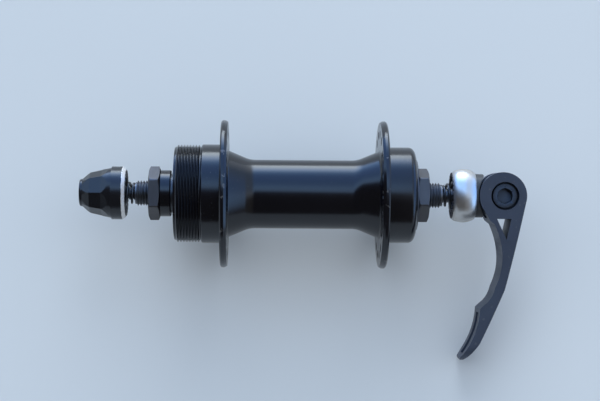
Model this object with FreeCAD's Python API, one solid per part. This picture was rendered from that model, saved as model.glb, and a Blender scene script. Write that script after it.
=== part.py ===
import FreeCAD, Part
import math
import os

# Front hub with a screw-on disc thread and a quick-release skewer, in millimetres.
# +Y runs along the axle toward the disc thread, +X is forward and +Z is up.
# The origin is on the axle line, midway between the outer faces of the two lock nuts.
# The lever is closed and points to -X. Each piece is drawn with the lever level, and is then leaned
# about the axle so that the lever's tip comes down to the surface that the flanges stand on.

# Layout along the axle
over_locknut = 100.0
locknut_width = 3.9
lock_washer_width = 1.0
left_spacer_width = 4.0
left_shell_gap = 0.3
right_dust_cap_gap = 0.3
left_cone_length = 7.1
right_cone_length = 6.8
centre_to_left_flange = 23.1
centre_to_right_flange = 33.6

# Axle
axle_stand_out = 5.0
axle_r = 4.5
axle_pitch = 1.0
axle_thread_length = 26.0
axle_plain_r = 4.2
axle_end_chamfer = 0.6
thread_fit = 0.02

# Thread form, as shares of the pitch: depth, and the flats at crest and root
form_depth = 0.613
form_crest = 0.125
form_root = 0.167

# Bearings
ball_r = 2.381
ball_count = 10
ball_ring_r = 8.7
running_gap = 0.05
race_sweep_deg = 75.0
cup_wall = 0.87
cup_lip = 3.2
cup_back = 3.3
cone_nose = 1.6
cone_nose_drop = 0.3
cone_shoulder = 0.5
cone_neck_r = 7.2
cone_flats = 13.0
cone_flats_length = 2.6
cage_inside = 0.2
cage_outside = 0.7
cage_web = 0.8
cage_rail = 0.7
pocket_gap = 0.06
press_fit = 0.005

# Dust caps
dust_cap_sheet = 0.8
dust_cap_rim = 2.0
dust_cap_step = 0.9
dust_cap_gap = 0.4
left_dust_cap_recess = 0.4
right_dust_cap_proud = 0.5

# Lock nuts, washers and spacer
locknut_flats = 17.0
locknut_face_over_flats = 0.1
locknut_corner_cut = 0.16
locknut_edge_chamfer = 0.45
right_locknut_turn_deg = 8.0
lock_washer_r = 6.9
left_spacer_r = 8.3
small_chamfer = 0.3

# Disc thread side of the shell: 1.375 inch by 24 threads to the inch
inch = 25.4
disc_thread_inches = 1.375
disc_threads_an_inch = 24
disc_thread_lead_in = 0.6
disc_thread_ridges = 8
undercut_width = 0.44
undercut_depth = 0.9
collar_step = 0.19
collar_chamfer = 0.5

# Flanges and spoke holes
flange_r = 26.4
flange_width = 2.4
flange_edge = 0.5
flange_inner_bevel = 0.9
flange_root_r = 15.6
spoke_count = 18
left_spoke_ring_inset = 4.1
right_spoke_ring_inset = 4.7
spoke_hole_r = 1.3
spoke_sink = 0.35
flange_phase_deg = 10.0

# Barrel and right housing
barrel_r = 12.3
barrel_bore_r = 9.6
flare_length = 9.9
flare_blend = 3.6
housing_r = 17.1
housing_round_length = 2.3
housing_mouth_wall = 0.6

# Skewer
rod_r = 2.5
rod_pitch = 0.8
rod_thread_length = 24.0
rod_end_recess = 0.6
eye_wall = 1.7
eye_half_width = 2.8
pin_r = 3.0
pin_head_step = 1.45
pin_head_height = 2.4
pin_head_recess = 1.2
pin_counterbore_side_gap = 0.55
pin_counterbore_gap = 0.1
pin_socket_flats = 5.0
pin_socket_depth = 2.4
pin_running_gap = 0.05
rod_running_gap = 0.3

# Cap and saddle
cap_stand_off = 8.5
cap_length = 8.2
cap_face_r = 8.3
cap_bevel = 0.8
cap_shoulder_r = 9.0
cap_belly_r = 9.6
cap_end_r = 8.65
cap_end_round = 0.5
cap_recess_r = 7.0
cap_recess_depth = 3.6
cap_ring_rim = 0.1
ring_width = 1.5
ring_proud = 0.25
ring_teeth = 28
ring_tooth_depth = 0.3
saddle_r = 7.8
saddle_floor = 0.65
saddle_horns = 2.45
saddle_groove_spare_r = 3.1
saddle_spigot_r = 4.2
saddle_spigot = 2.0
spigot_gap = 0.05

# Cam and lever
cam_r = 8.4
eccentricity = 0.7
cam_rest_gap = 0.3
lever_width = 16.0
lever_grip_width = 14.6
lever_tip_corner = 5.5
slot_side_gap = 0.3
slot_end_gap = 0.7
slot_hub_side = 8.0
slot_hub_side_from = 4.5
grip_channel_half = 2.6
grip_channel_depth = 1.1
tip_rest_gap = 0.1

# Lever outline in the XY plane, as distance out from the pivot along the axle and distance below it
outer_edge_top = (7.5, 1.75)
outer_edge_mid = (3.55, 19.5)
outer_edge_low = (0.15, 33.4)
outer_edge_bend = (-4.05, 43.0)
outer_tip_bend = (-8.55, 52.6)
outer_edge_tip = (-14.05, 58.8)
tip_round = (-15.05, 58.7)
tip_inner = (-15.35, 57.8)
grip_bend = (-10.45, 49.4)
grip_corner = (-8.55, 40.2)
neck_corner = (-7.05, 38.8)
neck_low_bend = (-4.65, 36.2)
neck_low = (-3.25, 32.6)
neck_bend = (-0.85, 21.8)
neck_top = (-3.65, 10.2)
shoulder = (-5.25, 8.9)
flank_bend = (-6.25, 7.1)
flank_top = (-7.4, 5.1)
window = ((-2.85, 8.2), (2.25, 8.2), (0.55, 15.6))

# End nut
nut_stand_off = 8.4
nut_length = 16.6
nut_nose = 1.0
nut_nose_r = 4.9
nut_nose_round = 0.6
nut_nose_flat_drop = 0.05
nut_step = 2.8
nut_step_r = 7.4
nut_cone_r = 9.05
nut_collar = 5.0
nut_collar_r = 9.5
nut_bevel = 1.0
nut_bevel_depth = 0.9
nut_flutes = 8
nut_flute_depth = 0.15
nut_flute_from_face = 8.6
nut_flute_ramp_deg = 27.0
nut_recess_gap = 0.7
nut_recess_depth = 3.4
nut_ring_rim = 0.4
nut_ring_bore_gap = 0.4
lock_ring_wall = 1.25
lock_ring_width = 2.2
lock_ring_from_end = 3.0
nut_bore_gap = 0.05

# Springs, wound from round wire
wire_r = 0.45
spring_rod_gap = 0.4
spring_side_gap = 0.45
spring_end_gap = 0.1
left_spring_turns = 3.0
right_spring_turns = 3.5
quarters_per_turn = 4
spring_flat_ends = 0.35
heading_nudge = 1e-4
gap_samples = 400

# Places along the axle that follow from these
locknut_face_y = over_locknut / 2
axle_end_y = locknut_face_y + axle_stand_out
left_nut_seat_y = locknut_face_y - locknut_width
right_nut_seat_y = -left_nut_seat_y
left_washer_end_y = left_nut_seat_y - left_spacer_width
left_cone_end_y = left_washer_end_y - lock_washer_width
right_cone_end_y = right_nut_seat_y + lock_washer_width
left_ball_y = left_cone_end_y - left_cone_length
right_ball_y = right_cone_end_y + right_cone_length
thread_end_y = left_cone_end_y - left_shell_gap
left_dust_cap_y = thread_end_y - left_dust_cap_recess
right_dust_cap_y = right_nut_seat_y + right_dust_cap_gap
housing_end_y = right_dust_cap_y + right_dust_cap_proud
cap_face_y = -locknut_face_y - cap_stand_off
cap_end_y = cap_face_y - cap_length
saddle_floor_y = cap_end_y - saddle_floor
pin_y = saddle_floor_y - cam_rest_gap - cam_r - eccentricity
cam_y = pin_y + eccentricity
nut_face_y = locknut_face_y + nut_stand_off
nut_end_y = nut_face_y + nut_length
rod_end_y = nut_end_y - rod_end_recess

# Radii that follow from these
axle_bore_r = rod_r + rod_running_gap
cup_r = ball_ring_r + ball_r + running_gap + cup_wall
dust_cap_r = cup_r + dust_cap_step
disc_thread_r = disc_thread_inches * inch / 2
disc_pitch = inch / disc_threads_an_inch
collar_r = disc_thread_r + collar_step
left_spoke_ring_r = flange_r - left_spoke_ring_inset
right_spoke_ring_r = flange_r - right_spoke_ring_inset
eye_r = pin_r + eye_wall
pin_head_r = pin_r + pin_head_step
cap_ring_r = cap_face_r - cap_ring_rim
nut_recess_r = axle_r + nut_recess_gap
nut_bevel_r = nut_collar_r - nut_bevel_depth
nut_ring_r = nut_bevel_r - nut_ring_rim
lock_ring_r = rod_r + nut_bore_gap + lock_ring_wall

# How far the lever leans down, in degrees, from where the round corner of its tip stands when level
tip_corner_out = outer_edge_tip[1] - lever_tip_corner
tip_corner_low = lever_grip_width / 2 - lever_tip_corner
tip_drop = flange_r - lever_tip_corner - tip_rest_gap
tip_reach = math.hypot(tip_corner_out, tip_corner_low)
lean_deg = math.degrees(math.asin(tip_drop / tip_reach) - math.atan2(tip_corner_low, tip_corner_out))

# The middle of a quarter round lies this share of its radius inside the corner
round_share = 1 - math.sqrt(0.5)
hexagon_corner_deg = 60

ACROSS = FreeCAD.Vector(1, 0, 0)
ALONG = FreeCAD.Vector(0, 1, 0)
UP = FreeCAD.Vector(0, 0, 1)
OUTWARD = 1
INWARD = -1
CENTRE = FreeCAD.Vector(0, 0, 0)


def point(y, r):
    """A point of a turned profile: y along the axle and r out from it."""
    return FreeCAD.Vector(r, y, 0)


def face_through(steps, place):
    """A face whose outline runs through the steps: two numbers are the end of a straight line,
    four are the middle and the end of an arc. place turns a pair of numbers into a point."""
    here = place(*steps[0][-2:])
    edges = []
    for step in steps[1:] + steps[:1]:
        end = place(*step[-2:])
        if len(step) == 4:
            edges.append(Part.Arc(here, place(*step[:2]), end).toShape())
        else:
            edges.append(Part.makeLine(here, end))
        here = end
    return Part.Face(Part.Wire(edges))


def turned(steps):
    """A solid of revolution about the axle line."""
    return face_through(steps, point).revolve(CENTRE, ALONG, 360)


def sided(side, base_y, steps):
    """Profile steps given outward from base_y, placed on the left side for 1 or the right for -1."""
    placed = []
    for step in steps:
        pairs = [(base_y + side * step[i], step[i + 1]) for i in range(0, len(step), 2)]
        placed.append(tuple(value for pair in pairs for value in pair))
    return placed


def ring(y_from, y_to, inner_r, outer_r):
    """A plain ring about the axle line."""
    return turned([(y_from, inner_r), (y_to, inner_r), (y_to, outer_r), (y_from, outer_r)])


def ridges(y_from, crest_r, pitch, count, direction):
    """Profile steps of a 60 degree thread, drawn as one ridge a pitch."""
    root_r = crest_r - form_depth * pitch
    flank = (1 - form_crest - form_root) * pitch / 2
    steps = []
    for number in range(count):
        root_start = y_from + direction * number * pitch
        root_end = root_start + direction * form_root * pitch
        crest_start = root_end + direction * flank
        crest_end = crest_start + direction * form_crest * pitch
        steps += [(root_start, root_r), (root_end, root_r), (crest_start, crest_r), (crest_end, crest_r)]
    return steps


def around(shape, count, start_deg=0.0):
    """Copies of a shape, equally spaced about the axle line."""
    copies = []
    for number in range(count):
        copy = shape.copy()
        copy.rotate(CENTRE, ALONG, start_deg + number * 360.0 / count)
        copies.append(copy)
    return copies


def hexagon(flats, centre, second_axis, turn_deg=0.0):
    """A hexagon face about a centre, measured across its flats, with a corner toward X when unturned."""
    corner_r = flats / 2 / math.cos(math.radians(hexagon_corner_deg / 2))
    corners = []
    for number in range(int(360 / hexagon_corner_deg)):
        angle = math.radians(hexagon_corner_deg * number + turn_deg)
        arm = ACROSS * math.cos(angle) + second_axis * math.sin(angle)
        corners.append(centre + arm * corner_r)
    return Part.Face(Part.makePolygon(corners + corners[:1]))


def save(name, shape):
    """Leans one sub-part with the rest and writes it as a STEP file of its own solids."""
    solids = shape.Solids
    kept = solids[0] if len(solids) == 1 else Part.makeCompound(solids)
    kept.rotate(CENTRE, ALONG, -lean_deg)
    if not kept.isValid() or kept.Volume <= 0:
        raise ValueError(f"{name} is not a sound solid")
    kept.exportStep(f"parts/{name}.step")
    print(f"{name}: {len(solids)} solid, {kept.Volume:.1f} mm3")


def make_axle():
    """The hollow axle, threaded at both ends and plain between."""
    root_r = axle_r - form_depth * axle_pitch
    end_r = axle_r - axle_end_chamfer
    count = int(axle_thread_length / axle_pitch)
    thread_end = axle_end_y - axle_end_chamfer
    thread_start = thread_end - count * axle_pitch
    steps = [(-axle_end_y, axle_bore_r), (-axle_end_y, end_r)]
    steps += ridges(-thread_end, axle_r, axle_pitch, count, 1)
    steps += [(-thread_start, root_r), (-thread_start, axle_plain_r), (thread_start, axle_plain_r)]
    steps += ridges(thread_start, axle_r, axle_pitch, count, 1)
    steps += [(thread_end, root_r), (axle_end_y, end_r), (axle_end_y, axle_bore_r)]
    save("axle", turned(steps))


def race_point(angle_deg, way):
    """A point of a ball race in its own half plane, measured from the ball's centre. The angle
    leaves the radial direction, OUTWARD for the cup and INWARD for the cone."""
    race_r = ball_r + running_gap
    angle = math.radians(angle_deg)
    return (-way * race_r * math.sin(angle), ball_ring_r + way * race_r * math.cos(angle))


def make_bearing(name, side, ball_y, cone_length):
    """Cone, cup, balls and cage of one side."""
    bore_r = axle_r + thread_fit
    race_low = race_point(0, INWARD)
    race_top = race_point(race_sweep_deg, INWARD)
    cone_steps = [
        (-cone_nose, bore_r),
        (-cone_nose, race_low[1] - cone_nose_drop),
        race_low,
        race_point(race_sweep_deg / 2, INWARD) + race_top,
        (race_top[0] + cone_shoulder, race_top[1]),
        (race_top[0] + 2 * cone_shoulder, cone_neck_r),
        (cone_length, cone_neck_r),
        (cone_length, bore_r),
    ]
    cone = turned(sided(side, ball_y, cone_steps))
    wrench_y = ball_y + side * (cone_length - cone_flats_length / 2) - cone_flats_length / 2
    above = Part.makeBox(2 * cone_neck_r, cone_flats_length, cone_neck_r,
                         FreeCAD.Vector(-cone_neck_r, wrench_y, cone_flats / 2))
    save(f"{name}_cone", cone.cut(Part.makeCompound(around(above, 2))))

    cup_low = race_point(race_sweep_deg, OUTWARD)
    cup_top = race_point(0, OUTWARD)
    cup_steps = [
        (cup_lip, cup_r - press_fit),
        (-cup_back, cup_r - press_fit),
        (-cup_back, cup_low[1]),
        cup_low,
        race_point(race_sweep_deg / 2, OUTWARD) + cup_top,
        (cup_lip, cup_top[1]),
    ]
    save(f"{name}_cup", turned(sided(side, ball_y, cup_steps)))

    balls = around(Part.makeSphere(ball_r, FreeCAD.Vector(ball_ring_r, ball_y, 0)), ball_count)
    save(f"{name}_balls", Part.makeCompound(balls))

    pocket_r = ball_r + pocket_gap
    cage = ring(ball_y - side * cage_web, ball_y + side * (pocket_r + cage_rail),
                ball_ring_r - cage_inside, ball_ring_r + cage_outside)
    pocket = Part.makeCylinder(pocket_r, ball_ring_r, FreeCAD.Vector(ball_ring_r / 2, ball_y, 0), ACROSS)
    save(f"{name}_ball_cage", cage.cut(Part.makeCompound(around(pocket, ball_count))))


def make_dust_cap(name, side, outer_face_y):
    """A pressed ring with a rim, which closes the bearing round the cone's neck."""
    seat_r = dust_cap_r - press_fit
    steps = [
        (0, cone_neck_r + dust_cap_gap),
        (0, seat_r - small_chamfer),
        (-small_chamfer, seat_r),
        (-dust_cap_rim, seat_r),
        (-dust_cap_rim, seat_r - dust_cap_sheet),
        (-dust_cap_sheet, seat_r - dust_cap_sheet),
        (-dust_cap_sheet, cone_neck_r + dust_cap_gap),
    ]
    save(name, turned(sided(side, outer_face_y, steps)))


def make_locknut(name, side, turn_deg):
    """A hexagon nut, chamfered on both faces, whose outer face is one of the clamped faces."""
    blank = hexagon(locknut_flats, CENTRE, UP, turn_deg).extrude(ALONG * (side * locknut_width))
    blank.translate(ALONG * (side * left_nut_seat_y))
    face_r = locknut_flats / 2 + locknut_face_over_flats
    edge_r = locknut_flats / 2 / math.cos(math.radians(hexagon_corner_deg / 2)) - locknut_corner_cut
    steps = [
        (0, axle_r + thread_fit),
        (0, face_r),
        (-locknut_edge_chamfer, edge_r),
        (locknut_edge_chamfer - locknut_width, edge_r),
        (-locknut_width, face_r),
        (-locknut_width, axle_r + thread_fit),
    ]
    envelope = turned(sided(side, side * locknut_face_y, steps))
    save(name, blank.common(envelope))


def make_axle_rings():
    """Lock washers on both sides, and the left spacer."""
    bore_r = axle_r + thread_fit
    spacer_steps = [
        (left_washer_end_y, bore_r),
        (left_washer_end_y, left_spacer_r - small_chamfer),
        (left_washer_end_y + small_chamfer, left_spacer_r),
        (left_nut_seat_y - small_chamfer, left_spacer_r),
        (left_nut_seat_y, left_spacer_r - small_chamfer),
        (left_nut_seat_y, bore_r),
    ]
    save("left_spacer", turned(spacer_steps))
    save("left_lock_washer", ring(left_cone_end_y, left_washer_end_y, bore_r, lock_washer_r))
    save("right_lock_washer", ring(right_nut_seat_y, right_cone_end_y, bore_r, lock_washer_r))


def spoke_cutter(flange_y, spoke_ring_r):
    """The spoke hole at the top of a flange, with a countersink on each face."""
    half = flange_width / 2
    wide_r = spoke_hole_r + 2 * spoke_sink
    drill = Part.makeCylinder(spoke_hole_r, 2 * flange_width,
                              point(flange_y - flange_width, spoke_ring_r), ALONG)
    outer = Part.makeCone(spoke_hole_r, wide_r, 2 * spoke_sink,
                          point(flange_y + half - spoke_sink, spoke_ring_r), ALONG)
    inner = Part.makeCone(wide_r, spoke_hole_r, 2 * spoke_sink,
                          point(flange_y - half - spoke_sink, spoke_ring_r), ALONG)
    return drill.fuse([outer, inner])


def make_shell():
    """The one-piece shell: disc thread, collar, flanges, flared barrel and right bearing housing."""
    half = flange_width / 2
    thread_root_r = disc_thread_r - form_depth * disc_pitch
    thread_start = thread_end_y - disc_thread_lead_in
    thread_stop = thread_start - disc_thread_ridges * disc_pitch
    collar_start = thread_stop - undercut_width
    left_in = centre_to_left_flange - half
    left_out = centre_to_left_flange + half
    right_in = half - centre_to_right_flange
    right_out = -half - centre_to_right_flange
    # The flare is a cone that a shallow arc joins to the barrel; the arc's middle lies a quarter
    # as far out as its end does
    flare_slope = (flange_root_r - barrel_r) / (flare_length - flare_blend / 2)
    blend_rise = flare_slope * flare_blend / 2
    blend_r = barrel_r + blend_rise
    blend_mid_r = barrel_r + blend_rise / 4
    left_blend = left_in - flare_length + flare_blend
    right_blend = right_in + flare_length - flare_blend
    left_seat = left_dust_cap_y - dust_cap_rim
    right_seat = right_dust_cap_y + dust_cap_rim
    housing_mouth_r = dust_cap_r + housing_mouth_wall
    round_start_y = housing_end_y + housing_round_length
    round_depth = housing_r - housing_mouth_r
    steps = [(thread_end_y, dust_cap_r), (thread_end_y, thread_root_r)]
    steps += ridges(thread_start, disc_thread_r, disc_pitch, disc_thread_ridges, -1)
    steps += [
        (thread_stop, thread_root_r),
        (thread_stop, disc_thread_r - undercut_depth),
        (collar_start, disc_thread_r - undercut_depth),
        (collar_start, collar_r - collar_chamfer),
        (collar_start - collar_chamfer, collar_r),
        (left_out, collar_r),
        (left_out, flange_r - flange_edge),
        (left_out - flange_edge, flange_r),
        (left_in + flange_inner_bevel, flange_r),
        (left_in, flange_r - flange_edge),
        (left_in, flange_root_r),
        (left_blend, blend_r),
        (left_blend - flare_blend / 2, blend_mid_r, left_blend - flare_blend, barrel_r),
        (right_blend + flare_blend, barrel_r),
        (right_blend + flare_blend / 2, blend_mid_r, right_blend, blend_r),
        (right_in, flange_root_r),
        (right_in, flange_r - flange_edge),
        (right_in - flange_inner_bevel, flange_r),
        (right_out + flange_edge, flange_r),
        (right_out, flange_r - flange_edge),
        (right_out, housing_r),
        (round_start_y, housing_r),
        (
            housing_end_y + housing_round_length * round_share,
            housing_r - round_depth * round_share,
            housing_end_y,
            housing_mouth_r,
        ),
        (housing_end_y, dust_cap_r),
        (right_seat, dust_cap_r),
        (right_seat, cup_r),
        (right_ball_y + cup_back, cup_r),
        (right_ball_y + cup_back, barrel_bore_r),
        (left_ball_y - cup_back, barrel_bore_r),
        (left_ball_y - cup_back, cup_r),
        (left_seat, cup_r),
        (left_seat, dust_cap_r),
    ]
    shell = turned(steps)
    left_cutter = spoke_cutter(centre_to_left_flange, left_spoke_ring_r)
    right_cutter = spoke_cutter(-centre_to_right_flange, right_spoke_ring_r)
    cutters = around(left_cutter, spoke_count)
    cutters += around(right_cutter, spoke_count, flange_phase_deg)
    save("hub_shell", shell.cut(Part.makeCompound(cutters)))


def serrations(side, face_y, outer_r):
    """Radial V grooves for the gripping face of a ring."""
    half_width = math.pi * outer_r / ring_teeth / 2
    low = FreeCAD.Vector(0, face_y - side * ring_tooth_depth, 0)
    lift = side * ring_tooth_depth
    groove = Part.makePolygon([
        low,
        low + FreeCAD.Vector(0, 2 * lift, 2 * half_width),
        low + FreeCAD.Vector(0, 2 * lift, -2 * half_width),
        low,
    ])
    prism = Part.Face(groove).extrude(ACROSS * (2 * outer_r))
    return Part.makeCompound(around(prism, ring_teeth))


def make_grip_ring(name, side, face_y, inner_r, outer_r):
    """A steel ring with a serrated face, which bites into the fork end."""
    blank = ring(face_y, face_y - side * ring_width, inner_r, outer_r)
    save(name, blank.cut(serrations(side, face_y, outer_r)))


def make_end_nut():
    """The adjusting nut: nose, cone with milled flats, collar, spring recess and threaded bore."""
    nose_start = nut_end_y - nut_nose
    cone_start = nose_start - nut_step
    collar_end = nut_face_y + nut_collar
    rounding = nut_nose_round * round_share
    bore_r = rod_r + nut_bore_gap
    recess_end = nut_face_y + nut_recess_depth
    ring_seat = nut_face_y - ring_proud + ring_width
    ring_start = nut_end_y - lock_ring_from_end
    steps = [
        (nut_face_y, nut_ring_r),
        (nut_face_y, nut_bevel_r),
        (nut_face_y + nut_bevel, nut_collar_r),
        (collar_end, nut_collar_r),
        (collar_end, nut_cone_r),
        (cone_start, nut_step_r),
        (nose_start, nut_nose_r),
        (nut_end_y - nut_nose_round, nut_nose_r),
        (nut_end_y - rounding, nut_nose_r - rounding, nut_end_y, nut_nose_r - nut_nose_round),
        (nut_end_y, lock_ring_r),
        (ring_start, lock_ring_r),
        (ring_start, bore_r),
        (recess_end, bore_r),
        (recess_end, nut_recess_r),
        (ring_seat, nut_recess_r),
        (ring_seat, nut_ring_r),
    ]
    nut = turned(steps)

    # Each flat follows the cone, drops to the nose at the outer end and ramps up to the collar
    cone_slope = (nut_cone_r - nut_step_r) / (cone_start - collar_end)
    apothem = math.cos(math.pi / nut_flutes)
    step_flat_r = nut_step_r * apothem - nut_flute_depth
    nose_flat_r = nut_nose_r - nut_nose_flat_drop
    flat_start_y = nut_face_y + nut_flute_from_face
    flat_start_r = step_flat_r + (cone_start - flat_start_y) * cone_slope
    ramp_length = (nut_collar_r - flat_start_r) / math.tan(math.radians(nut_flute_ramp_deg))
    outside_r = 2 * nut_collar_r
    milled = face_through([
        (nose_start, outside_r),
        (nose_start, nose_flat_r),
        (cone_start, step_flat_r),
        (flat_start_y, flat_start_r),
        (flat_start_y - ramp_length, nut_collar_r),
        (flat_start_y - ramp_length, outside_r),
    ], point)
    cutter = milled.extrude(UP * (2 * nut_collar_r))
    cutter.translate(UP * -nut_collar_r)
    cutters = around(cutter, nut_flutes, 180.0 / nut_flutes)
    save("end_nut", nut.cut(Part.makeCompound(cutters)))
    make_grip_ring("nut_ring", -1, nut_face_y - ring_proud, nut_recess_r + nut_ring_bore_gap,
                   nut_ring_r - press_fit)
    save("nut_lock_ring", ring(ring_start, ring_start + lock_ring_width, bore_r, lock_ring_r - press_fit))


def make_skewer():
    """The rod with its thread and eye, and the pin through the eye."""
    thread_start = rod_end_y - small_chamfer - rod_thread_length
    count = int(rod_thread_length / rod_pitch)
    thread_stop = thread_start + count * rod_pitch
    root_r = rod_r - form_depth * rod_pitch
    steps = [(pin_y + pin_r, 0), (pin_y + pin_r, rod_r), (thread_start, rod_r)]
    steps += ridges(thread_start, rod_r, rod_pitch, count, 1)
    steps += [(thread_stop, root_r), (rod_end_y, root_r), (rod_end_y, 0)]
    eye = Part.makeCylinder(eye_r, 2 * eye_half_width, FreeCAD.Vector(0, pin_y, -eye_half_width), UP)
    hole = Part.makeCylinder(pin_r + press_fit, lever_width, FreeCAD.Vector(0, pin_y, -lever_width / 2), UP)
    save("skewer_rod", turned(steps).fuse(eye).cut(hole))

    head_top = lever_width / 2 - pin_head_recess
    shaft = Part.makeCylinder(pin_r, lever_width / 2 + head_top,
                              FreeCAD.Vector(0, pin_y, -lever_width / 2), UP)
    head = Part.makeCylinder(pin_head_r, pin_head_height,
                             FreeCAD.Vector(0, pin_y, head_top - pin_head_height), UP)
    socket_top = FreeCAD.Vector(0, pin_y, head_top)
    socket = hexagon(pin_socket_flats, socket_top, ALONG).extrude(UP * -pin_socket_depth)
    mouth = Part.makeCone(pin_socket_flats / 2, pin_socket_flats / 2 + 2 * small_chamfer, 2 * small_chamfer,
                          socket_top - UP * small_chamfer, UP)
    save("pivot_pin", shaft.fuse(head).cut([socket, mouth]))


def lever_point(out, down):
    """A point of the lever's outline: out from the pivot along the axle, down from it."""
    return FreeCAD.Vector(-down, pin_y - out, 0)


def make_lever():
    """The lever: round cam head with a slot for the rod, curved arm with a window, channelled grip."""
    half = lever_width / 2
    clear = 2 * cam_r
    outline = [
        outer_edge_top,
        outer_edge_mid + outer_edge_low,
        outer_edge_bend + outer_tip_bend,
        outer_edge_tip,
        tip_round + tip_inner,
        grip_bend + grip_corner,
        neck_corner,
        neck_low_bend + neck_low,
        neck_bend + neck_top,
        shoulder,
        flank_bend + flank_top,
    ]
    arm = face_through(outline, lever_point).extrude(UP * lever_width)
    arm.translate(UP * -half)
    head = Part.makeCylinder(cam_r, lever_width, FreeCAD.Vector(0, cam_y, -half), UP)
    lever = arm.fuse(head)

    # The width seen from outside: full at the head, narrower at the grip, with round corners at the tip
    grip_half = lever_grip_width / 2
    tip_x = -outer_edge_tip[1]
    taper_from = -window[2][1]
    taper_to = -neck_low[1]
    corner_mid = lever_tip_corner * round_share

    def plan_point(x, z):
        return FreeCAD.Vector(x, cam_y - clear, z)

    plan = face_through([
        (clear, -half),
        (clear, half),
        (taper_from, half),
        (taper_to, grip_half),
        (tip_x + lever_tip_corner, grip_half),
        (tip_x + corner_mid, grip_half - corner_mid, tip_x, grip_half - lever_tip_corner),
        (tip_x, lever_tip_corner - grip_half),
        (tip_x + corner_mid, corner_mid - grip_half, tip_x + lever_tip_corner, -grip_half),
        (taper_to, -grip_half),
        (taper_from, -half),
    ], plan_point)
    lever = lever.common(plan.extrude(ALONG * (clear - tip_inner[0] + clear)))

    # The slot for the rod and its eye, open over the whole swing of the lever
    slot_half = eye_half_width + slot_side_gap
    below_pin = eye_r + slot_end_gap
    over_pin = Part.makeBox(below_pin + clear, 2 * clear, 2 * slot_half,
                            FreeCAD.Vector(-below_pin, cam_y - clear, -slot_half))
    hub_side = Part.makeBox(slot_hub_side + clear, clear, 2 * slot_half,
                            FreeCAD.Vector(-slot_hub_side, pin_y + slot_hub_side_from, -slot_half))
    corners = [lever_point(*corner) for corner in window]
    opening = Part.Face(Part.makePolygon(corners + corners[:1])).extrude(UP * lever_width)
    opening.translate(UP * -half)
    pin_hole = Part.makeCylinder(pin_r + pin_running_gap, lever_width, FreeCAD.Vector(0, pin_y, -half), UP)
    floor_z = half - pin_head_recess - pin_head_height - pin_counterbore_gap
    counterbore = Part.makeCylinder(pin_head_r + pin_counterbore_side_gap, half,
                                    FreeCAD.Vector(0, pin_y, floor_z), UP)
    lever = lever.cut([over_pin, hub_side, opening, pin_hole, counterbore])

    # The channel along the inner side of the grip
    channel = face_through([
        (grip_corner[0] - grip_channel_depth, grip_corner[1] + grip_channel_depth),
        (grip_corner[0] + grip_channel_depth, grip_corner[1] + 2 * grip_channel_depth),
        (grip_bend[0] + grip_channel_depth, grip_bend[1], tip_inner[0] + 2 * grip_channel_depth,
         tip_inner[1] - grip_channel_depth),
        (tip_inner[0] - grip_channel_depth, tip_inner[1] - 2 * grip_channel_depth),
    ], lever_point).extrude(UP * (2 * grip_channel_half))
    channel.translate(UP * -grip_channel_half)
    save("lever", lever.cut(channel))


def make_cap():
    """The bright cap with its serrated ring, and the plastic saddle that the cam bears on."""
    bore_r = rod_r + rod_running_gap
    bevel_end = cap_face_y - cap_bevel
    belly_y = (bevel_end + cap_end_y) / 2
    ring_seat = cap_face_y + ring_proud - ring_width
    spigot_seat = cap_end_y + saddle_spigot + small_chamfer
    recess_end = cap_face_y - cap_recess_depth
    steps = [
        (cap_face_y, cap_ring_r),
        (cap_face_y, cap_face_r),
        (bevel_end, cap_shoulder_r),
        (belly_y, cap_belly_r, cap_end_y + cap_end_round, cap_end_r),
        (cap_end_y, cap_end_r - cap_end_round),
        (cap_end_y, saddle_spigot_r + spigot_gap),
        (spigot_seat, saddle_spigot_r + spigot_gap),
        (spigot_seat, bore_r),
        (recess_end, bore_r),
        (recess_end, cap_recess_r),
        (ring_seat, cap_recess_r),
        (ring_seat, cap_ring_r),
    ]
    save("cam_cap", turned(steps))
    make_grip_ring("cap_ring", 1, cap_face_y + ring_proud, cap_recess_r + press_fit, cap_ring_r - press_fit)

    groove_r = cam_r + saddle_groove_spare_r
    horn_y = saddle_floor_y - saddle_horns
    saddle_steps = [
        (cap_end_y + saddle_spigot, bore_r),
        (cap_end_y + saddle_spigot, saddle_spigot_r),
        (cap_end_y, saddle_spigot_r),
        (cap_end_y, saddle_r),
        (horn_y + small_chamfer, saddle_r),
        (horn_y, saddle_r - small_chamfer),
        (horn_y, bore_r),
    ]
    groove = Part.makeCylinder(groove_r, 2 * lever_width,
                               FreeCAD.Vector(0, saddle_floor_y - groove_r, -lever_width), UP)
    save("saddle", turned(saddle_steps).cut(groove))


def arc_along(start, heading, end):
    """The arc from start to end that leaves along the heading."""
    chord = end - start
    normal = chord - heading * chord.dot(heading)
    normal.normalize()
    radius = chord.dot(chord) / (2 * chord.dot(normal))
    centre = start + normal * radius
    outward = (start - centre) + (end - centre)
    outward.normalize()
    return Part.Arc(start, centre + outward * abs(radius), end).toShape()


def biarc(start, heading, end, last_heading):
    """Two arcs that join start to end and are tangent to a heading at each."""
    chord = end - start
    both = heading + last_heading
    square = 2 * (1 - heading.dot(last_heading))
    along = chord.dot(both)
    reach = (math.sqrt(along * along + square * chord.dot(chord)) - along) / square
    middle = (start + end + (heading - last_heading) * reach) * 0.5
    joint_heading = (middle - start - heading * reach)
    joint_heading.normalize()
    return [arc_along(start, heading, middle), arc_along(middle, joint_heading, end)]


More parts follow.
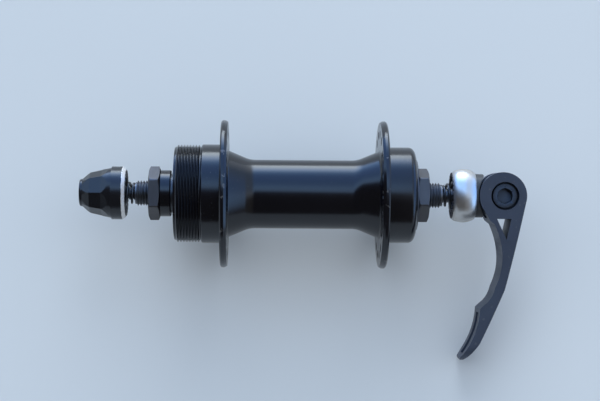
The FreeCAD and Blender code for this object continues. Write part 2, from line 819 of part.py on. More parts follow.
def make_spring(name, turns, small_y, large_y, small_r, large_r):
    """A conical spring, wound as one unbroken wire from its small end to its large end."""
    span = large_y - small_y

    def share(wound):
        """How far along the spring the wire is: slow over the end turns, which lie nearly flat."""
        part = wound / turns
        return part - math.sin(2 * math.pi * part) / (2 * math.pi) * spring_flat_ends

    def wire_point(wound):
        r = small_r + (large_r - small_r) * share(wound)
        angle = 2 * math.pi * wound
        return FreeCAD.Vector(r * math.cos(angle), small_y + span * share(wound), r * math.sin(angle))

    def wire_heading(wound):
        heading = wire_point(wound + heading_nudge) - wire_point(wound - heading_nudge)
        heading.normalize()
        return heading

    edges = []
    for number in range(int(turns * quarters_per_turn)):
        first = number / quarters_per_turn
        last = (number + 1) / quarters_per_turn
        edges += biarc(wire_point(first), wire_heading(first), wire_point(last), wire_heading(last))
    path = Part.Wire(edges)
    circle = Part.Wire(Part.makeCircle(wire_r, wire_point(0), wire_heading(0)))
    shell = path.makePipeShell([circle], True, False)
    samples = [wire_point(turns * number / gap_samples) for number in range(gap_samples + 1)]
    half_turn = int(gap_samples / turns / 2)
    least = min(
        (samples[i] - samples[j]).Length - 2 * wire_r
        for i in range(gap_samples + 1)
        for j in range(i + half_turn, gap_samples + 1)
    )
    print(f"{name}: {turns} turns, least gap to itself {least:.2f} mm")
    save(name, shell)


def make_springs():
    """The two springs of the skewer, each between an axle end and the floor of a recess."""
    seat = wire_r + spring_end_gap
    small_r = rod_r + wire_r + spring_rod_gap
    side = wire_r + spring_side_gap
    make_spring("left_spring", left_spring_turns, axle_end_y + seat,
                nut_face_y + nut_recess_depth - seat, small_r, nut_recess_r - side)
    make_spring("right_spring", right_spring_turns, -axle_end_y - seat,
                cap_face_y - cap_recess_depth + seat, small_r, cap_recess_r - side)


def build():
    """Writes every sub-part."""
    os.makedirs("parts", exist_ok=True)
    make_axle()
    make_axle_rings()
    make_bearing("left", 1, left_ball_y, left_cone_length)
    make_bearing("right", -1, right_ball_y, right_cone_length)
    make_dust_cap("left_dust_cap", 1, left_dust_cap_y)
    make_dust_cap("right_dust_cap", -1, right_dust_cap_y)
    make_locknut("left_locknut", 1, 0.0)
    make_locknut("right_locknut", -1, right_locknut_turn_deg)
    make_shell()
    make_end_nut()
    make_skewer()
    make_lever()
    make_cap()
    make_springs()
    print(f"the lever leans {lean_deg:.3f} degrees down")


build()
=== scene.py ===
import math

import bpy
from mathutils import Matrix, Vector


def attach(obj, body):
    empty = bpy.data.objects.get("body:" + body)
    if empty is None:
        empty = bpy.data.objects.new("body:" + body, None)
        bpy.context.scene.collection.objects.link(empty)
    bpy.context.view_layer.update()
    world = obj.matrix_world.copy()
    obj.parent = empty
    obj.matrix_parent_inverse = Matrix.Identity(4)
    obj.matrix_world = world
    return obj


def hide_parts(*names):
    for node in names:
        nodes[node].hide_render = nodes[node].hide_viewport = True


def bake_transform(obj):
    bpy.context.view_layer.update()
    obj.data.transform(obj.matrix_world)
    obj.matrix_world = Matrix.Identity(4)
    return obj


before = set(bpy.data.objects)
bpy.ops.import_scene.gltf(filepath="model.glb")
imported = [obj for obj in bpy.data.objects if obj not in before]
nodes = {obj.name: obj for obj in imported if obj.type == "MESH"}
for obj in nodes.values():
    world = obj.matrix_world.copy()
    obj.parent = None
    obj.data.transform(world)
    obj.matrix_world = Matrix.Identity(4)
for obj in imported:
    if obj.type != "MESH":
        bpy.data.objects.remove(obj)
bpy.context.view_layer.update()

# Hub shell: one piece of aluminium alloy, forged and then turned. It carries the screw thread for
# the disc on the left, a collar, two spoke flanges, a barrel that flares out to them and the right
# bearing housing. It is anodised black with a gloss, and a little dust lies on it.
# Sizes are in millimetres, with Y along the axle. A list of steps holds pairs of a place along the
# axle and a radius. A thread's form says at which shares of its pitch a ridge starts to rise, has
# risen, and starts to fall.
MM = 0.001
SHELL_SIDES = 192
SHARP_DEG = 28
THREAD_FORM = (0.167, 0.521, 0.646)
disc_pitch = 25.4 / 24
disc_crest_r = 17.4625
disc_root_r = 16.81
disc_thread_end = 40.2
disc_ridges = 8
thread_steps = []
for ridge in range(disc_ridges):
    ridge_y = disc_thread_end - ridge * disc_pitch
    thread_steps += [
        (ridge_y, disc_root_r),
        (ridge_y - THREAD_FORM[0] * disc_pitch, disc_root_r),
        (ridge_y - THREAD_FORM[1] * disc_pitch, disc_crest_r),
        (ridge_y - THREAD_FORM[2] * disc_pitch, disc_crest_r),
    ]
flange_r = 26.4
rim_r = 25.9
collar_r = 17.65
housing_r = 17.1
barrel_r = 12.3
cup_bore_r = 12.0
cap_bore_r = 12.9
shell_bore_r = 9.6
left_flange = [(24.3, rim_r), (23.8, flange_r), (22.8, flange_r), (21.9, rim_r)]
right_flange = [(-32.4, rim_r), (-33.3, flange_r), (-34.3, flange_r), (-34.8, rim_r)]
shell_steps = [(40.8, cap_bore_r), (40.8, 16.6)] + thread_steps + [
    (31.733, disc_root_r), (31.733, 16.56), (31.293, 16.56), (31.293, 17.15), (30.793, collar_r),
    (24.6, collar_r), (24.3, 17.95),
] + left_flange + [(21.9, 16.3), (21.6, 15.75), (21.2, 15.38)]


def bow(start, middle, end, parts=6):
    """Places along a shallow curve through three places, both ends included."""
    shares = [number / parts for number in range(parts + 1)]
    return [
        tuple(
            a * (1 - t) * (1 - 2 * t) + b * 4 * t * (1 - t) + c * t * (2 * t - 1)
            for a, b, c in zip(start, middle, end)
        )
        for t in shares
    ]


shell_steps += bow((15.6, 13.033), (13.8, 12.483), (12.0, barrel_r))
shell_steps += bow((-22.5, barrel_r), (-24.3, 12.483), (-26.1, 13.033))
shell_steps += [(-31.7, 15.38), (-32.1, 15.75), (-32.4, 16.3)] + right_flange
shell_steps += [(-34.8, 17.4), (-35.1, housing_r)]
shell_steps += bow((-43.0, housing_r), (-44.626, 16.05), (-45.3, 13.5), 8)
shell_steps += [
    (-45.3, cap_bore_r), (-43.8, cap_bore_r), (-43.8, cup_bore_r), (-35.0, cup_bore_r),
    (-35.0, shell_bore_r), (30.7, shell_bore_r), (30.7, cup_bore_r), (38.4, cup_bore_r),
    (38.4, cap_bore_r),
]


def none_selected():
    """Leaves nothing selected, so that an operator reaches only the piece that is being made."""
    bpy.ops.object.select_all(action="DESELECT")


def only(piece):
    """Makes one piece the selected and active one."""
    none_selected()
    piece.select_set(True)
    bpy.context.view_layer.objects.active = piece


def at_origin(piece):
    """Moves a piece's place, turn and scale into its mesh."""
    only(piece)
    bpy.ops.object.transform_apply(location=True, rotation=True, scale=True)
    return piece


def turned(name, steps, sides=128, centre=(0.0, 0.0), solid=False):
    """A piece made on the lathe: a circle at the first (place along the axle, radius), drawn out and
    scaled from step to step. It is a ring, closed on itself, or solid between two flat ends.
    centre is the turning line's place in X and Z."""
    none_selected()
    place, radius = steps[0]
    bpy.ops.mesh.primitive_circle_add(
        vertices=sides, radius=radius * MM, fill_type="NGON" if solid else "NOTHING",
        location=(centre[0] * MM, place * MM, centre[1] * MM), rotation=(math.pi / 2, 0, 0),
    )
    piece = at_origin(bpy.context.object)
    piece.name = name
    bpy.ops.object.mode_set(mode="EDIT")
    bpy.ops.mesh.select_all(action="SELECT")
    loop = list(steps[1:]) if solid else list(steps[1:]) + [steps[0]]
    for next_place, next_radius in loop:
        bpy.ops.mesh.extrude_region_move(
            TRANSFORM_OT_translate={"value": (0, (next_place - place) * MM, 0)}
        )
        share = next_radius / radius
        bpy.ops.transform.resize(
            value=(share, 1, share), center_override=(centre[0] * MM, next_place * MM, centre[1] * MM)
        )
        place, radius = next_place, next_radius
    bpy.ops.mesh.select_all(action="SELECT")
    bpy.ops.mesh.remove_doubles(threshold=0.001 * MM)
    bpy.ops.mesh.normals_make_consistent(inside=False)
    bpy.ops.object.mode_set(mode="OBJECT")
    return piece


def modified(piece, kind, **settings):
    """Adds one modifier to a piece and applies it."""
    only(piece)
    modifier = piece.modifiers.new(kind.title(), kind)
    for name, value in settings.items():
        setattr(modifier, name, value)
    bpy.ops.object.modifier_apply(modifier=modifier.name)
    return piece


hub = turned("hub_body", shell_steps, SHELL_SIDES)
modified(hub, "BEVEL", width=0.09 * MM, segments=2, limit_method="ANGLE",
         angle_limit=math.radians(SHARP_DEG), use_clamp_overlap=True)


def copies_round(piece, count, first_deg=0.0):
    """Equally spaced copies of a piece about the axle, which take its place."""
    copies = []
    for number in range(count):
        copy = piece.copy()
        copy.data = piece.data.copy()
        bpy.context.collection.objects.link(copy)
        copy.matrix_world = Matrix.Rotation(math.radians(first_deg + number * 360 / count), 4, "Y")
        copies.append(at_origin(copy))
    bpy.data.objects.remove(piece)
    return copies


def joined(pieces):
    """Several pieces made into one."""
    none_selected()
    for piece in pieces:
        piece.select_set(True)
    bpy.context.view_layer.objects.active = pieces[0]
    bpy.ops.object.join()
    return pieces[0]


def cut(piece, *cutters, keep="DIFFERENCE"):
    """Cuts a piece with closed cutters, which are used up."""
    for cutter in cutters:
        modified(piece, "BOOLEAN", object=cutter, operation=keep, solver="EXACT")
        bpy.data.objects.remove(cutter)
    return piece


# Eighteen spoke holes in each flange, drilled and lightly countersunk on both faces.
spoke_holes = 18
hole_steps = [(-2.4, 2.5), (-1.2, 1.65), (-0.85, 1.3), (0.85, 1.3), (1.2, 1.65), (2.4, 2.5)]
for flange_y, hole_ring_r, first_deg in ((23.1, 22.3, 0.0), (-33.6, 21.7, -10.0)):
    drill = turned("drill", [(flange_y + y, r) for y, r in hole_steps], 28, (hole_ring_r, 0.0), True)
    cut(hub, joined(copies_round(drill, spoke_holes, first_deg)))


class Strand:
    """One output of a material's nodes. Arithmetic on it, with numbers or other strands, is written
    as on numbers and adds the Math nodes for it."""

    def __init__(self, finish, socket):
        self.finish = finish
        self.socket = socket

    def maths(self, operation, other, swapped=False):
        pair = (other, self) if swapped else (self, other)
        return self.finish.node("ShaderNodeMath", {"operation": operation}, {0: pair[0], 1: pair[1]})

    def __add__(self, other):
        return self.maths("ADD", other)

    def __radd__(self, other):
        return self.maths("ADD", other, True)

    def __sub__(self, other):
        return self.maths("SUBTRACT", other)

    def __rsub__(self, other):
        return self.maths("SUBTRACT", other, True)

    def __mul__(self, other):
        return self.maths("MULTIPLY", other)

    def __rmul__(self, other):
        return self.maths("MULTIPLY", other, True)

    def __gt__(self, other):
        return self.maths("GREATER_THAN", other)


class Finish:
    """One material. node() adds a node of a type with its settings, and then fills its sockets."""

    def __init__(self, name, tree=None):
        self.material = None
        if tree is None:
            self.material = bpy.data.materials.new(name)
            self.material.use_nodes = True
            tree = self.material.node_tree
            tree.nodes.clear()
        self.tree = tree

    def node(self, kind, settings=None, sockets=None, output=0):
        made = self.tree.nodes.new(kind)
        for name, value in (settings or {}).items():
            if name == "stops":
                ramp = made.color_ramp
                while len(ramp.elements) < len(value):
                    ramp.elements.new(0.5)
                for element, (place, colour) in zip(ramp.elements, value):
                    element.position = place
                    element.color = (*colour, 1.0)
            else:
                setattr(made, name, value)
        for name, value in (sockets or {}).items():
            if isinstance(value, Strand):
                self.tree.links.new(value.socket, made.inputs[name])
            else:
                made.inputs[name].default_value = value
        return Strand(self, made.outputs[output]) if made.outputs else None

    def place(self):
        """The surface's place in the piece, in metres."""
        return self.node("ShaderNodeTexCoord", output="Object")

    def stretched(self, scale):
        """The surface's place, stretched or squeezed along each direction."""
        return self.node("ShaderNodeMapping", {"vector_type": "POINT"},
                         {"Vector": self.place(), "Scale": scale})

    def noise(self, vector, scale, detail=3.0, rough=0.5):
        """Even noise from 0 to 1."""
        return self.node("ShaderNodeTexNoise", None,
                         {"Vector": vector, "Scale": scale, "Detail": detail, "Roughness": rough})

    def ramp(self, value, *stops):
        """Colours at places from 0 to 1."""
        return self.node("ShaderNodeValToRGB", {"stops": stops}, {"Fac": value})

    def mixed(self, factor, first, second):
        """A colour between two colours."""
        return self.node("ShaderNodeMix", {"data_type": "RGBA"}, {0: factor, 6: first, 7: second}, 2)

    def bump(self, height, depth_mm, strength=1.0):
        """A normal that follows a height from 0 to 1, as deep as the depth."""
        return self.node("ShaderNodeBump", None,
                         {"Height": height, "Distance": depth_mm * MM, "Strength": strength})

    def surface(self, **sockets):
        """The shader itself, with sockets named in words joined by underscores."""
        named = {name.replace("_", " "): value for name, value in sockets.items()}
        shader = self.node("ShaderNodeBsdfPrincipled", None, named)
        self.node("ShaderNodeOutputMaterial", None, {"Surface": shader})
        return self.material


def black_anodised():
    """Glossy black anodising: blue-black, with the fine rings of the lathe under it, faint stains,
    dust, and bright metal where the flange rims have been knocked."""
    chipped_beyond_r = 26.15
    coat = Finish("black_anodised")
    rings = coat.noise(coat.stretched((1.0, 90.0, 1.0)), 60.0, 2.0)
    stains = coat.noise(coat.place(), 95.0, 4.0, 0.6)
    specks = coat.ramp(coat.noise(coat.place(), 1900.0, 1.0), (0.735, (0, 0, 0)), (0.78, (1, 1, 1)))
    patches = coat.ramp(coat.noise(coat.place(), 60.0, 2.0), (0.45, (0, 0, 0)), (0.7, (1, 1, 1)))
    parts = coat.node("ShaderNodeSeparateXYZ", None, {0: coat.place()})
    up = Strand(coat, parts.socket.node.outputs[2])
    rim = (parts * parts + up * up) > (chipped_beyond_r * MM) ** 2
    chips = coat.ramp(coat.noise(coat.place(), 420.0, 2.0), (0.62, (0, 0, 0)), (0.66, (1, 1, 1)))
    colour = coat.mixed(stains, (0.002, 0.002, 0.004, 1), (0.003, 0.003, 0.006, 1))
    colour = coat.mixed(specks * patches * 0.4, colour, (0.22, 0.24, 0.27, 1))
    worn = rim * chips * 0.4
    colour = coat.mixed(worn, colour, (0.20, 0.21, 0.22, 1))
    return coat.surface(
        Base_Color=colour,
        Metallic=worn,
        Roughness=0.14 + stains * 0.06 + worn * 0.2 + rings * 0.04,
        Normal=coat.bump(rings + stains * 0.4, 0.004, 0.35),
    )


def eased(piece, width, sharp_deg=SHARP_DEG, segments=2):
    """Breaks the sharp edges of a piece by a width in millimetres, and shades it smooth between them."""
    if width:
        modified(piece, "BEVEL", width=width * MM, segments=segments, limit_method="ANGLE",
                 angle_limit=math.radians(sharp_deg), use_clamp_overlap=True, miter_outer="MITER_SHARP")
    only(piece)
    bpy.ops.object.shade_smooth_by_angle(angle=math.radians(sharp_deg))
    return modified(piece, "WEIGHTED_NORMAL", keep_sharp=True, weight=60)


# The hub lies as it was put down on a table: on the rims of both flanges, with the tip of the
# closed lever touching it too. Each piece is drawn with the lever level, and then leans with the rest.
LEAN = math.radians(21.0216)


def fitted(piece, body, slot, finish, *stands_for):
    """Leans a finished piece with the rest, gives it its finish and joins it to its body."""
    piece.rotation_euler = (0, -LEAN, 0)
    at_origin(piece)
    piece.data.materials.clear()
    piece.data.materials.append(finish)
    if stands_for:
        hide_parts(*stands_for)
    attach(piece, body)
    none_selected()
    return piece


anodised = black_anodised()
eased(hub, 0.0)
fitted(hub, "shell", "black_alloy", anodised, "hub_shell")


# Bearings and dust caps, on both sides: pressed-in cups, screwed cones, ten balls in a cage and a
# pressed dust cap. All are steel: the races and balls are ground bright, and the dust caps blackened.
def steel(name, tone, rough, grain=0.12, ring_marks=0.3):
    """Plain or blackened steel: a colour that drifts a little, with fine marks round the axle."""
    metal = Finish(name)
    drift = metal.noise(metal.place(), 140.0, 3.0)
    marks = metal.noise(metal.stretched((1.0, 60.0, 1.0)), 130.0, 2.0)
    scratches = metal.noise(metal.stretched((30.0, 2.0, 30.0)), 160.0, 3.0, 0.7)
    dark = tuple(value * 0.72 for value in tone)
    colour = metal.mixed(drift, (*dark, 1), (*tone, 1))
    return metal.surface(
        Base_Color=colour,
        Metallic=0.95,
        Roughness=rough + marks * 0.08 + scratches * grain,
        Normal=metal.bump(marks * 0.6 + scratches * 0.4, 0.006, ring_marks),
    )


ground_steel = steel("ground_steel", (0.56, 0.57, 0.58), 0.16)
zinc_steel = steel("zinc_plated_steel", (0.42, 0.43, 0.44), 0.30)
black_steel = steel("blackened_steel", (0.125, 0.122, 0.126), 0.38)


def dressed(node_name, finish):
    """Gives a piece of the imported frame, whose shape is already right, its finish."""
    piece = nodes[node_name]
    piece.data.materials.clear()
    piece.data.materials.append(finish)


worn_steel = steel("dull_washer_steel", (0.15, 0.155, 0.165), 0.34)
for side in ("left", "right"):
    for part in ("cone", "cup", "balls"):
        dressed(f"{side}_{part}", ground_steel)
    dressed(f"{side}_ball_cage", zinc_steel)
    dressed(f"{side}_lock_washer", worn_steel)
    dressed(f"{side}_dust_cap", black_steel)


# Axle: a hollow steel rod, 110 mm long, with a rolled thread at each end and a dark, slightly
# oily finish. Only the last few millimetres stand out of the lock nuts.
def rolled_thread(start, crest_r, pitch, count):
    """The steps of a thread along the axle, one ridge a pitch."""
    root_r = crest_r - 0.613 * pitch
    steps = []
    for ridge in range(count):
        ridge_y = start + ridge * pitch
        steps += [
            (ridge_y, root_r),
            (ridge_y + THREAD_FORM[0] * pitch, root_r),
            (ridge_y + THREAD_FORM[1] * pitch, crest_r),
            (ridge_y + THREAD_FORM[2] * pitch, crest_r),
        ]
    return steps


axle_crest_r = 4.5
axle_pitch = 1.0
axle_ridges = 26
axle_steps = [(-55.0, 2.8), (-55.0, 3.9)] + rolled_thread(-54.4, axle_crest_r, axle_pitch, axle_ridges)
axle_steps += [(-28.4, 3.887), (-28.4, 4.2), (28.4, 4.2)]
axle_steps += rolled_thread(28.4, axle_crest_r, axle_pitch, axle_ridges)
axle_steps += [(54.4, 3.887), (55.0, 3.9), (55.0, 2.8)]
thread_steel = steel("dark_thread_steel", (0.17, 0.178, 0.195), 0.33, 0.1, 0.2)
axle = eased(turned("axle_rod", axle_steps, 72), 0.05)
fitted(axle, "axle_set", "plain_steel", thread_steel, "axle")


# Lock nuts: hexagon steel nuts, 17 mm across the flats, chamfered on both faces and blackened.
# A turned black alloy spacer stands between the left one and its lock washer.
def hexagon_bar(name, flats, start, end, centre=(0.0, 0.0), turn_deg=0.0):
    """A bar of hexagon section along the axle."""
    none_selected()
    bpy.ops.mesh.primitive_cylinder_add(
        vertices=6, radius=flats / 2 / math.cos(math.radians(30)) * MM, depth=abs(end - start) * MM,
        location=(centre[0] * MM, (start + end) / 2 * MM, centre[1] * MM), rotation=(math.pi / 2, 0, 0),
    )
    bar = bpy.context.object
    bar.name = name
    bar.rotation_euler = (Matrix.Rotation(math.radians(turn_deg), 4, "Y")
                          @ Matrix.Rotation(math.pi / 2, 4, "X")).to_euler()
    return at_origin(bar)


NUT_FACE = 50
NUT_WIDTH = 3.9
nut_flats = 17.0
over_axle_r = 4.52
lathe_steps = [(0, over_axle_r), (0, 8.6), (-0.45, 9.655), (0.45 - NUT_WIDTH, 9.655),
               (-NUT_WIDTH, 8.6), (-NUT_WIDTH, over_axle_r)]
for side, sign, turn_deg in (("left", 1, 90.0), ("right", -1, 98.0)):
    inner_face = sign * (NUT_FACE - NUT_WIDTH)
    nut = hexagon_bar(f"{side}_hexagon_nut", nut_flats, inner_face, sign * NUT_FACE, turn_deg=turn_deg)
    chamfer = turned("chamfer", [(sign * (NUT_FACE + y), r) for y, r in lathe_steps], 96)
    cut(nut, chamfer, keep="INTERSECT")
    fitted(eased(nut, 0.1), "axle_set", "black_steel", black_steel, f"{side}_locknut")

spacer_steps = [(42.1, over_axle_r), (42.1, 8.0), (42.4, 8.3), (45.8, 8.3), (46.1, 8.0),
                (46.1, over_axle_r)]
spacer = eased(turned("turned_spacer", spacer_steps), 0.08)
fitted(spacer, "axle_set", "black_alloy", anodised, "left_spacer")


# End nut: turned from black alloy, with eight flats milled down its cone for the fingers. The
# bevel at the hub side is cut back to bare metal, a serrated steel ring sits in the face, and a
# nylon ring in the outer end keeps the nut from creeping round.
def drawn(name, outline, low, high, turn=None):
    """A prism: an outline of (X, Y) places in millimetres, drawn point by point, filled and raised
    from low to high along Z. turn is a matrix that turns the finished prism."""
    none_selected()
    bpy.ops.mesh.primitive_plane_add(
        size=MM, location=(outline[0][0] * MM, outline[0][1] * MM, low * MM)
    )
    prism = at_origin(bpy.context.object)
    prism.name = name
    bpy.ops.object.mode_set(mode="EDIT")
    bpy.ops.mesh.select_all(action="SELECT")
    bpy.ops.mesh.merge(type="CENTER")
    here = outline[0]
    for there in list(outline[1:]) + [outline[0]]:
        bpy.ops.mesh.extrude_region_move(
            TRANSFORM_OT_translate={"value": ((there[0] - here[0]) * MM, (there[1] - here[1]) * MM, 0)}
        )
        here = there
    bpy.ops.mesh.select_all(action="SELECT")
    bpy.ops.mesh.remove_doubles(threshold=0.0005 * MM)
    bpy.ops.mesh.edge_face_add()
    bpy.ops.mesh.extrude_region_move(TRANSFORM_OT_translate={"value": (0, 0, (high - low) * MM)})
    bpy.ops.mesh.select_all(action="SELECT")
    bpy.ops.mesh.normals_make_consistent(inside=False)
    bpy.ops.object.mode_set(mode="OBJECT")
    if turn is not None:
        prism.matrix_world = turn
        at_origin(prism)
    return prism


nut_r = 9.5
finger_flats = 8
nut_steps = [(58.4, 8.2), (58.4, 8.6), (59.4, nut_r), (63.4, nut_r), (63.4, 9.05), (71.2, 7.4),
             (74.0, 4.9), (74.4, 4.9)]
nut_steps += bow((74.4, 4.9), (74.824, 4.724), (75.0, 4.3), 4)[1:]
nut_steps += [(75.0, 3.8), (72.0, 3.8), (72.0, 2.55), (61.8, 2.55), (61.8, 5.2), (59.65, 5.2),
              (59.65, 8.2)]
end_nut = turned("finger_nut", nut_steps, 128)
flat_outline = [(19.0, 74.0), (4.85, 74.0), (6.687, 71.2), (7.575, 67.0), (nut_r, 63.222),
                (19.0, 63.222)]
flat_cutter = drawn("flat_cutter", flat_outline, -nut_r, nut_r)
cut(end_nut, *copies_round(flat_cutter, finger_flats, 180 / finger_flats))
eased(end_nut, 0.08, 13)


def finger_nut_finish():
    """Black anodising that the bevel at the hub side was cut through, down to bright metal."""
    bare_below = 0.05925
    coat = Finish("finger_nut_black")
    stains = coat.noise(coat.place(), 130.0, 4.0, 0.6)
    grain = coat.noise(coat.place(), 900.0, 2.0)
    parts = coat.node("ShaderNodeSeparateXYZ", None, {0: coat.place()})
    along = Strand(coat, parts.socket.node.outputs[1])
    nicks = coat.noise(coat.place(), 650.0, 3.0, 0.7)
    bare = (bare_below + nicks * 0.0005) > along
    colour = coat.mixed(stains, (0.004, 0.005, 0.008, 1), (0.007, 0.008, 0.012, 1))
    bright = coat.mixed(nicks, (0.62, 0.64, 0.67, 1), (0.98, 0.99, 1.0, 1))
    colour = coat.mixed(bare, colour, bright)
    return coat.surface(
        Base_Color=colour,
        Metallic=bare * 0.35,
        Roughness=0.20 + stains * 0.08 + bare * 0.12,
        Normal=coat.bump(grain, 0.004, 0.25),
    )


fitted(end_nut, "adjusting_nut", "black_alloy", finger_nut_finish(), "end_nut")
dressed("nut_ring", black_steel)


def moulded(name, tone, rough):
    """Moulded plastic: a dull skin with a fine, even grain."""
    plastic = Finish(name)
    grain = plastic.noise(plastic.place(), 1500.0, 2.0)
    cloud = plastic.noise(plastic.place(), 160.0, 2.0)
    dark = tuple(value * 0.8 for value in tone)
    return plastic.surface(
        Base_Color=plastic.mixed(cloud, (*dark, 1), (*tone, 1)),
        Roughness=rough + grain * 0.12,
        Normal=plastic.bump(grain, 0.01, 0.4),
    )


dressed("nut_lock_ring", moulded("nylon_ring", (0.62, 0.61, 0.56), 0.45))


# Skewer rod and pivot pin: a steel rod, threaded for the end nut, with a round eye at the lever
# end. The pin through the eye has a blackened round head with a hexagon socket.
def upright(piece, place):
    """Turns a piece of the lathe upright, with its middle at a place along the axle."""
    piece.rotation_euler = (math.pi / 2, 0, 0)
    piece.location = (0, place * MM, 0)
    return at_origin(piece)


PIN_Y = -76.75
rod_r = 2.5
rod_pitch = 0.8
rod_ridges = 30
rod_thread_start = 50.1
rod_steps = [(-73.75, rod_r), (rod_thread_start, rod_r)]
rod_steps += rolled_thread(rod_thread_start, rod_r, rod_pitch, rod_ridges)
rod_steps += [(74.1, 2.01), (74.4, 2.01)]
rod = turned("skewer_wire", rod_steps, 48, solid=True)
eye = upright(turned("eye", [(-2.8, 3.005), (-2.8, 4.7), (2.8, 4.7), (2.8, 3.005)], 64), PIN_Y)
bore = upright(turned("bore", [(-4, 3.004), (4, 3.004)], 64, solid=True), PIN_Y)
cut(cut(rod, eye, keep="UNION"), bore)
fitted(eased(rod, 0.06), "skewer", "plain_steel", thread_steel, "skewer_rod")

socket_flats = 5.0
pin_steps = [(-8.0, 2.7), (-7.7, 3.0), (4.4, 3.0), (4.4, 4.45), (6.45, 4.45)]
pin_steps += bow((6.45, 4.45), (6.72, 4.36), (6.8, 4.1), 4)[1:]
pin_steps += [(6.8, 2.75), (6.55, 2.5)]
pin = turned("pivot_bolt", pin_steps, 96, solid=True)
cut(pin, hexagon_bar("socket", socket_flats, 4.4, 7.5, turn_deg=90.0))
pin_black = steel("pin_black", (0.070, 0.076, 0.088), 0.38)
fitted(eased(upright(pin, PIN_Y), 0.08), "skewer", "black_steel", pin_black, "pivot_pin")


# Lever: cast aluminium with a round cam head, a slot for the rod, a three-cornered window and a
# curved arm that ends in a flat grip. It has a fine matt black coat with small paler pits.
def lever_place(out, down):
    """A place on the lever's outline, given out from the pivot and down from the axle."""
    return (-down, PIN_Y - out)


CAM_Y = PIN_Y + 0.7
CAM_R = 8.4
LEVER_HALF = 8.0
outer_side = bow((7.5, 1.75), (3.55, 19.5), (0.15, 33.4), 12)
outer_side += bow((0.15, 33.4), (-4.05, 43.0), (-8.55, 52.6), 8)[1:]
outer_side += bow((-8.55, 52.6), (-11.2, 56.0), (-14.05, 58.8), 4)[1:]
tip = bow((-14.05, 58.8), (-15.05, 58.7), (-15.35, 57.8), 5)[1:]
inner_side = bow((-15.35, 57.8), (-10.45, 49.4), (-8.55, 40.2), 10)[1:] + [(-7.05, 38.8)]
inner_side += bow((-7.05, 38.8), (-4.65, 36.2), (-3.25, 32.6), 5)[1:]
inner_side += bow((-3.25, 32.6), (-0.85, 21.8), (-3.65, 10.2), 14)[1:]
inner_side += bow((-5.25, 8.9), (-6.25, 7.1), (-7.4, 5.1), 4)
arm_outline = [lever_place(*place) for place in outer_side + tip + inner_side]
lever = drawn("cam_lever", arm_outline, -LEVER_HALF, LEVER_HALF)
head = turned("cam_head", [(-LEVER_HALF, CAM_R), (LEVER_HALF, CAM_R)], 160, solid=True)
cut(lever, upright(head, CAM_Y), keep="UNION")

grip_plan = [(16.8, -LEVER_HALF), (16.8, LEVER_HALF), (-15.6, LEVER_HALF), (-32.6, 7.3), (-53.3, 7.3)]
grip_plan += bow((-53.3, 7.3), (-57.19, 5.69), (-58.8, 1.8), 6)[1:]
grip_plan += [(-58.8, -1.8)] + bow((-58.8, -1.8), (-57.19, -5.69), (-53.3, -7.3), 6)[1:]
grip_plan += [(-32.6, -7.3), (-15.6, -LEVER_HALF)]
plan_cutter = drawn("plan_cutter", grip_plan, 50.0, 100.0, Matrix.Rotation(math.pi / 2, 4, "X"))
cut(lever, plan_cutter, keep="INTERSECT")

window = [lever_place(*place) for place in ((-2.85, 8.2), (2.25, 8.2), (0.55, 15.6))]
slot_half = 3.1
channel_half = 2.6
slot_over = [(-5.4, CAM_Y - 16.8), (16.8, CAM_Y - 16.8), (16.8, CAM_Y + 16.8), (-5.4, CAM_Y + 16.8)]
slot_side = [(-8.0, PIN_Y + 4.5), (16.8, PIN_Y + 4.5), (16.8, PIN_Y + 21.3), (-8.0, PIN_Y + 21.3)]
channel = [(-9.65, 41.3), (-7.45, 42.4)] + bow((-7.45, 42.4), (-9.35, 49.4), (-13.15, 56.7), 6)[1:]
channel += [(-16.45, 55.6)] + bow((-16.45, 55.6), (-12.5, 49.4), (-9.65, 41.3), 6)[1:-1]
cut(lever, drawn("window", window, -9.0, 9.0))
cut(lever, drawn("slot_over", slot_over, -slot_half, slot_half))
cut(lever, drawn("slot_side", slot_side, -slot_half, slot_half))
channel = [lever_place(*place) for place in channel]
cut(lever, drawn("channel", channel, -channel_half, channel_half))
pin_hole = turned("pin_hole", [(-9.0, 3.05), (4.3, 3.05), (4.3, 5.0), (9.0, 5.0)], 96, solid=True)
cut(lever, upright(pin_hole, PIN_Y))
eased(lever, 0.16)


def matt_black():
    """Matt black coating on cast alloy: an even fine grain, and small pits that show paler."""
    coat = Finish("matt_black_coat")
    grain = coat.noise(coat.place(), 1300.0, 3.0)
    cloud = coat.noise(coat.place(), 110.0, 3.0)
    pits = coat.ramp(coat.noise(coat.place(), 700.0, 1.0), (0.70, (0, 0, 0)), (0.76, (1, 1, 1)))
    colour = coat.mixed(cloud, (0.026, 0.040, 0.070, 1), (0.036, 0.052, 0.087, 1))
    colour = coat.mixed(pits * 0.25, colour, (0.16, 0.17, 0.18, 1))
    return coat.surface(
        Base_Color=colour,
        Metallic=0.0,
        Roughness=0.42 + grain * 0.1,
        Normal=coat.bump(grain + pits * 0.5, 0.012, 0.4),
    )


fitted(lever, "lever_body", "matt_black_alloy", matt_black(), "lever")


# Cam cap and saddle: the cap is turned from bare aluminium and polished, with a serrated steel
# ring pressed in its face. The black plastic saddle behind it is hollowed to suit the cam.
cap_steps = [(-58.5, 8.2), (-58.5, 8.3), (-59.3, 9.0)]
cap_steps += bow((-59.3, 9.0), (-63.0, 9.6), (-66.2, 8.65), 10)[1:]
cap_steps += [(-66.7, 8.15), (-66.7, 4.25), (-64.4, 4.25), (-64.4, 2.8), (-62.1, 2.8), (-62.1, 7.0),
              (-59.75, 7.0), (-59.75, 8.2)]
cap = eased(turned("polished_cap", cap_steps, 160), 0.08)


